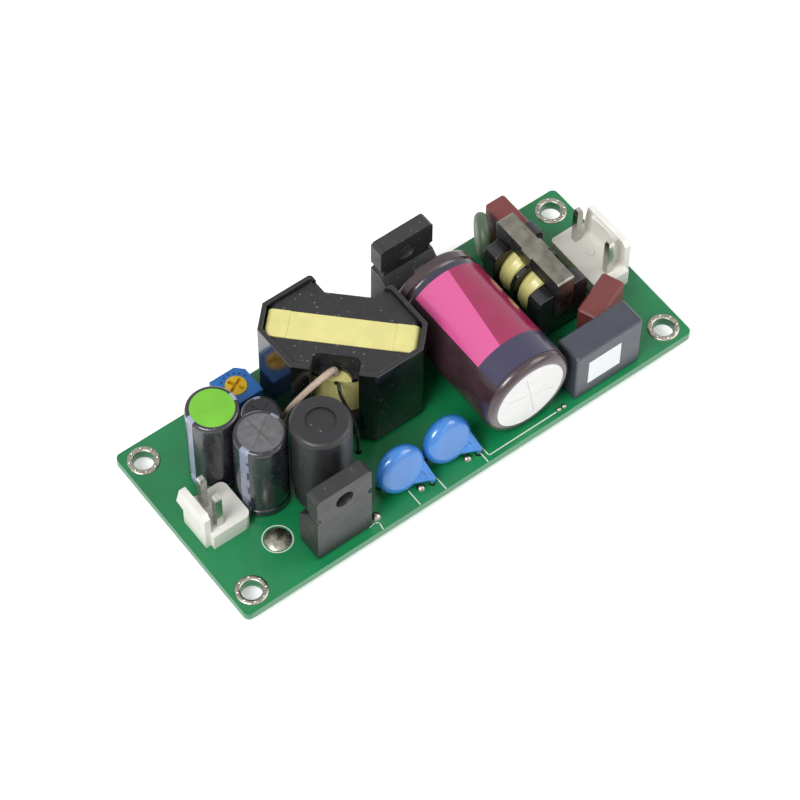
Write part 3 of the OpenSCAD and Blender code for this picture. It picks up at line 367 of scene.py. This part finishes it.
def sleeve_print(name, node, tint, turn, spread):
    """Shrink sleeve of a can with pale stripes and one column of dark minus signs."""
    made = material(name, *tones(34, 33, 42, 0.7), rough=(0.22, 0.34), coat=0.4, dust=0.15)
    centre = middle(node)
    tall = (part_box(node)[1][2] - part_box(node)[0][2]) / MM

    def around(tree):
        """Degrees round the can from its print's bearing, and height over the board."""
        x, y, z = split_place(tree, (centre.x, centre.y, TOP))
        way = bearing(tree, x, maths(tree, "MULTIPLY", y, -1))
        return maths(tree, "SUBTRACT", way, turn), z

    def stripe(tree):
        # The wrap folds half a turn onto the other, so a stripe shows on both sides.
        side = maths(tree, "WRAP", around(tree)[0], -180)
        return within(tree, side, -spread, spread)

    def minus(tree):
        side, z = around(tree)
        level = maths(tree, "MODULO", z, MINUS_PITCH)
        start = MINUS_PITCH / 2
        bar = within(tree, side, -MINUS_SPREAD, MINUS_SPREAD)
        bar = maths(tree, "MULTIPLY", bar, within(tree, level, start, start + MINUS_LENGTH))
        return maths(tree, "MULTIPLY", bar, within(tree, z, MINUS_FOOT, tall - MINUS_HEAD))

    repaint(made, stripe, tint)
    repaint(made, minus, colour(52, 52, 66))
    return made


CAN_A = sleeve_print("sleeve_a", "output_capacitor_a", colour(150, 154, 178), 98, 22)
CAN_B = sleeve_print("sleeve_b", "output_capacitor_b", colour(128, 134, 156), -62, 22)
SMALL_CAN = sleeve_print("sleeve_small", "small_capacitor", colour(128, 134, 156), 170, 20)

# What isn't named here is bare metal: leads, pins, rings and solder.
CAD_LOOKS = {
    "circuit_board": MASK,
    "output_header": NYLON,
    "input_header": NYLON,
    "output_header_pins": PIN,
    "input_header_pins": PIN,
    "output_capacitor_a": CAN_A,
    "output_capacitor_a_top": GREEN_DOT,
    "output_capacitor_b": CAN_B,
    "output_capacitor_b_top": ALUMINIUM,
    "small_capacitor": SMALL_CAN,
    "small_capacitor_top": DARK_TOP,
    "drum_choke_sleeve": SHRINK,
    "drum_choke_core": FERRITE,
    "rectifier_body": MOULD,
    "transistor_body": MOULD,
    "trimmer_body": TRIM_BLUE,
    "trimmer_rotor": TRIM_GOLD,
    "transformer_shell": SHELL,
    "transformer_core": FERRITE,
    "transformer_bobbin": BOBBIN,
    "transformer_winding": TAPE,
    "transformer_tape": TAPE,
    "secondary_lead": LITZ,
    "sleeved_lead": CORD_BLACK,
    "bulk_can": BULK,
    "bulk_end_disc": WHITE,
    "bulk_seal": RUBBER,
    "disc_capacitor_a": DISC_BLUE,
    "disc_capacitor_b": DISC_BLUE,
    "film_capacitor": FILM,
    "line_choke_core": FERRITE,
    "line_choke_bobbin": BOBBIN,
    "line_choke_windings": TAPE,
    "line_choke_clip": STEEL,
    "thermistor": NTC,
    "rear_fuse": FUSE,
    "front_fuse": FUSE,
    "bridge_rectifier": MOULD,
    "controller_chip": MOULD,
    "optocoupler": MOULD,
    "chip_parts": MOULD,
}

# Moulded and pressed parts whose edges are eased, with the ease's width in millimetres.
EASED = {
    "circuit_board": 0.08,
    "output_header": 0.16,
    "input_header": 0.16,
    "rectifier_body": 0.12,
    "transistor_body": 0.12,
    "trimmer_body": 0.12,
    "transformer_shell": 0.14,
    "transformer_core": 0.16,
    "line_choke_bobbin": 0.22,
    "line_choke_core": 0.12,
}
SAME_PLACE = 0.001 * MM
EASED_ANGLE = math.radians(35)


def dress_solids():
    """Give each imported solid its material, and an ease to the moulded ones."""
    for name, solid in nodes.items():
        solid.data.materials.clear()
        solid.data.materials.append(CAD_LOOKS.get(name, TIN))
        if name in EASED:
            weld = solid.modifiers.new("weld", "WELD")
            weld.merge_threshold = SAME_PLACE
            ease = solid.modifiers.new("ease", "BEVEL")
            ease.width = EASED[name] * MM
            ease.segments = 2
            ease.limit_method = "ANGLE"
            ease.angle_limit = EASED_ANGLE


dress_solids()


# ----------------------------------------------------------- shared making

def make_piece(mesh, name, look, body=BOARD, smooth=True):
    """Turn a finished bmesh into a riding piece."""
    bmesh.ops.recalc_face_normals(mesh, faces=mesh.faces)
    data = bpy.data.meshes.new(name)
    mesh.to_mesh(data)
    mesh.free()
    for face in data.polygons:
        face.use_smooth = smooth
    if smooth:
        data.set_sharp_from_angle(angle=math.radians(40))
    data.materials.append(look)
    piece = bpy.data.objects.new(name, data)
    bpy.context.collection.objects.link(piece)
    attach(piece, body)
    return piece


def add_sheet(mesh, corners, rise):
    """Flat closed plate: a face on its corners, extruded along the rise."""
    face = mesh.faces.new([mesh.verts.new(corner) for corner in corners])
    raised = bmesh.ops.extrude_face_region(mesh, geom=[face])
    lifted = [item for item in raised["geom"] if isinstance(item, bmesh.types.BMVert)]
    bmesh.ops.translate(mesh, verts=lifted, vec=rise)


def add_line(mesh, start, end, width):
    """Printed line between two places on the board."""
    a, b = Vector(start) * MM, Vector(end) * MM
    side = (b - a).normalized()
    side = Vector((-side.y, side.x)) * width * MM / 2
    ahead = (b - a).normalized() * width * MM / 2
    corners = [a - ahead - side, b + ahead - side, b + ahead + side, a - ahead + side]
    add_sheet(mesh, [(corner.x, corner.y, TOP) for corner in corners], (0, 0, INK))


def add_path(mesh, places, width):
    """Printed line through several places."""
    for start, end in zip(places, places[1:]):
        add_line(mesh, start, end, width)


def add_ring(mesh, centre, radius, width):
    """Flat printed ring: a small square section turned round the centre."""
    x, y = centre[0] * MM, centre[1] * MM
    inner = radius - width / 2
    inside = mesh.verts.new((x + inner * MM, y, TOP))
    outside = mesh.verts.new((x + (inner + width) * MM, y, TOP))
    outside_top = mesh.verts.new(outside.co + Vector((0, 0, INK)))
    inside_top = mesh.verts.new(inside.co + Vector((0, 0, INK)))
    loop = [inside, outside, outside_top, inside_top]
    edges = [mesh.edges.new(pair) for pair in zip(loop, loop[1:] + loop[:1])]
    bmesh.ops.spin(
        mesh, geom=loop + edges, cent=(x, y, TOP), axis=(0, 0, 1),
        angle=2 * math.pi, steps=RING_STEPS, use_merge=True,
    )


# ---------------------------------------------------------------- printing

def add_silkscreen():
    """Lines printed on the board, and the ring round the solder blob."""
    mesh = bmesh.new()
    add_ring(mesh, BLOB, BLOB_RING_RADIUS, PRINT_WIDTH)
    for places in PRINT_PATHS:
        add_path(mesh, places, PRINT_WIDTH)
    make_piece(mesh, "silkscreen", SILK, smooth=False)


def add_bulk_label():
    """Printed label round the lying can, in plain fields of colour, with a painted pink sheen highlight on
    its upper left.
    """
    low, high = (Vector(corner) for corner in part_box("bulk_can"))
    centre = middle("bulk_can")
    radius = (high.x - low.x) / 2 + LABEL_CLEAR * MM
    start = math.radians(LABEL_LEFT)
    mesh = bmesh.new()
    ends = []
    for lift in (0, LABEL_THICK):
        reach = radius + lift * MM
        for y in (LABEL_NEAR, LABEL_FAR):
            ends.append(mesh.verts.new((
                centre.x + reach * math.sin(start), y * MM, centre.z + reach * math.cos(start),
            )))
    face = mesh.faces.new([ends[0], ends[1], ends[3], ends[2]])
    bmesh.ops.spin(
        mesh, geom=[face], cent=(centre.x, 0, centre.z), axis=(0, 1, 0),
        angle=math.radians(LABEL_RIGHT - LABEL_LEFT), steps=LABEL_STEPS,
    )
    bmesh.ops.remove_doubles(mesh, verts=mesh.verts, dist=SAME_PLACE)
    look = material("bulk_label", *tones(150, 30, 78, 0.9), rough=(0.2, 0.3), coat=0.4)

    def on_label(tree):
        """Place on the label from the can's middle line, as three sockets."""
        return split_place(tree, (centre.x, 0, centre.z))

    # Painted highlight: a lighter pink copy of the label's colour, laid where the sheen falls on the can's
    # upper left.
    def painted_sheen(tree):
        x, y, z = on_label(tree)
        edge = maths(tree, "ADD", maths(tree, "MULTIPLY", y, SHEEN_EDGE_SLOPE), SHEEN_EDGE_SHIFT)
        return maths(tree, "LESS_THAN", bearing(tree, x, z), edge)

    def navy(tree):
        return maths(tree, "LESS_THAN", on_label(tree)[1], NAVY_END)

    def far_strip(tree):
        return maths(tree, "GREATER_THAN", on_label(tree)[1], STRIP_START)

    # Lighter pink: the painted sheen highlight.
    repaint(look, painted_sheen, colour(206, 84, 142))
    repaint(look, navy, colour(50, 46, 76))
    repaint(look, far_strip, colour(40, 36, 58))
    make_piece(mesh, "bulk_label", look)


def add_film_sticker():
    """Bare white sticker on the film capacitor's front."""
    front = Vector(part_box("film_capacitor")[0]).y
    mesh = bmesh.new()
    corners = [
        (x * MM, front, TOP + z * MM)
        for x, z in (
            (STICKER_LEFT, STICKER_FOOT), (STICKER_RIGHT, STICKER_FOOT),
            (STICKER_RIGHT, STICKER_HEAD), (STICKER_LEFT, STICKER_HEAD),
        )
    ]
    add_sheet(mesh, corners, (0, -STICKER_THICK * MM, 0))
    make_piece(mesh, "film_sticker", STICKER, smooth=False)


def add_ring_beads():
    """Small beads of solder on each mounting ring."""
    mesh = bmesh.new()
    hole = HOLES / 2
    for x in (-1, 1):
        for y in (-1, 1):
            for step in range(BEADS):
                a = math.radians((step + 0.5) * 360 / BEADS)
                across = x * hole.x + BEAD_CIRCLE * math.cos(a)
                ahead = y * hole.y + BEAD_CIRCLE * math.sin(a)
                place = Vector((across, ahead, 0)) * MM
                place.z = TOP + BEAD_LIFT * MM
                bmesh.ops.create_icosphere(
                    mesh, subdivisions=2, radius=BEAD_RADIUS * MM,
                    matrix=Matrix.Translation(place),
                )
    make_piece(mesh, "ring_beads", PIN)


def add_trimmer_ticks():
    """Small marks round the trimmer's rotor."""
    mesh = bmesh.new()
    centre = upper("trimmer_body")
    for step in range(TICKS):
        a = math.radians(TICK_FIRST + TICK_STEP * step)
        place = centre + Vector((math.cos(a), math.sin(a), 0)) * TICK_CIRCLE * MM
        bmesh.ops.create_cone(
            mesh, cap_ends=True, segments=10, radius1=TICK_RADIUS * MM,
            radius2=TICK_RADIUS * MM, depth=TICK_THICK * MM,
            matrix=Matrix.Translation(place),
        )
    make_piece(mesh, "trimmer_ticks", DEEP_BLUE, smooth=False)


add_silkscreen()
add_bulk_label()
add_film_sticker()
add_ring_beads()
add_trimmer_ticks()


# ------------------------------------------------------ camera and lights

# What camera and glossy rays add on the floor and in the sky, and the sky's own light.
FLOOR_GLOW, SKY_GLOW, SKY_LIGHT = 0.35, 0.5, 0.4
FLOOR_DROP = 0.05


def add_camera():
    """Long lens from above the output end's front corner."""
    azimuth = math.radians(-37.519)
    elevation = math.radians(56.707)
    roll = math.radians(0.662)
    distance = 505.631 * MM
    target = Vector((-1.666 * MM, -0.352 * MM, TOP))
    flat = math.cos(elevation)
    back = Vector((math.sin(azimuth) * flat, -math.cos(azimuth) * flat, math.sin(elevation)))
    right = Vector((math.cos(azimuth), math.sin(azimuth), 0))
    up = back.cross(right)
    across = right * math.cos(roll) + up * math.sin(roll)
    over = up * math.cos(roll) - right * math.sin(roll)
    camera = bpy.data.objects.new("camera", bpy.data.cameras.new("camera"))
    camera.data.sensor_width = 36
    camera.data.lens = 145.09
    camera.data.clip_start = 0.01
    turn = Matrix((across, over, back)).transposed().to_4x4()
    camera.matrix_world = Matrix.Translation(target + back * distance) @ turn
    bpy.context.collection.objects.link(camera)
    bpy.context.scene.camera = camera


def add_light(name, azimuth, elevation, distance, size, power):
    """Square soft light that looks at the middle of the board."""
    data = bpy.data.lights.new(name, "AREA")
    data.shape = "SQUARE"
    data.size = size
    data.energy = power
    lamp = bpy.data.objects.new(name, data)
    a = math.radians(azimuth)
    e = math.radians(elevation)
    way = Vector((math.sin(a) * math.cos(e), -math.cos(a) * math.cos(e), math.sin(e)))
    lamp.location = way * distance
    lamp.rotation_euler = way.to_track_quat("Z", "Y").to_euler()
    bpy.context.collection.objects.link(lamp)


def seen_glow(tree, strength):
    """A strength that only camera and glossy rays meet."""
    path = tree.nodes.new("ShaderNodeLightPath")
    seen = maths(tree, "MAXIMUM", path.outputs["Is Camera Ray"], path.outputs["Is Glossy Ray"])
    return maths(tree, "MULTIPLY", seen, strength)


def show_white(tree, shader, strength, outlet):
    """Add plain white for camera and glossy rays to a shader."""
    glow = tree.nodes.new("ShaderNodeEmission")
    tree.links.new(seen_glow(tree, strength), glow.inputs["Strength"])
    both = tree.nodes.new("ShaderNodeAddShader")
    tree.links.new(shader, both.inputs[0])
    tree.links.new(glow.outputs["Emission"], both.inputs[1])
    tree.links.new(both.outputs["Shader"], outlet)


def add_floor():
    """Pale floor under the clipped leads."""
    mesh = bmesh.new()
    bmesh.ops.create_grid(mesh, x_segments=1, y_segments=1, size=3)
    bmesh.ops.translate(mesh, verts=mesh.verts, vec=(0, 0, cad_low[2] - FLOOR_DROP * MM))
    data = bpy.data.meshes.new("floor")
    mesh.to_mesh(data)
    mesh.free()
    floor = bpy.data.objects.new("floor", data)
    look = material("floor", *tones(250, 250, 250, 0.99), rough=(0.8, 0.9), cloud=3)
    tree = look.node_tree
    outlet = tree.nodes["Material Output"].inputs["Surface"]
    show_white(tree, tree.nodes["Principled BSDF"].outputs["BSDF"], FLOOR_GLOW, outlet)
    data.materials.append(look)
    bpy.context.collection.objects.link(floor)


def add_stage():
    """Camera, floor, lights and the pale world."""
    scene = bpy.context.scene
    scene.view_settings.view_transform = "Standard"
    scene.view_settings.look = "None"
    world = bpy.data.worlds.new("world")
    world.use_nodes = True
    tree = world.node_tree
    sky = tree.nodes["Background"]
    sky.inputs["Color"].default_value = (1, 1, 1, 1)
    strength = maths(tree, "ADD", seen_glow(tree, SKY_GLOW), SKY_LIGHT)
    tree.links.new(strength, sky.inputs["Strength"])
    scene.world = world
    add_camera()
    add_floor()
    add_light("key", -75, 50, 0.7, 0.3, 4.0)
    add_light("back", 60, 40, 0.7, 0.4, 2.0)
    add_light("fill", 20, 30, 0.8, 0.5, 0.8)


add_stage()
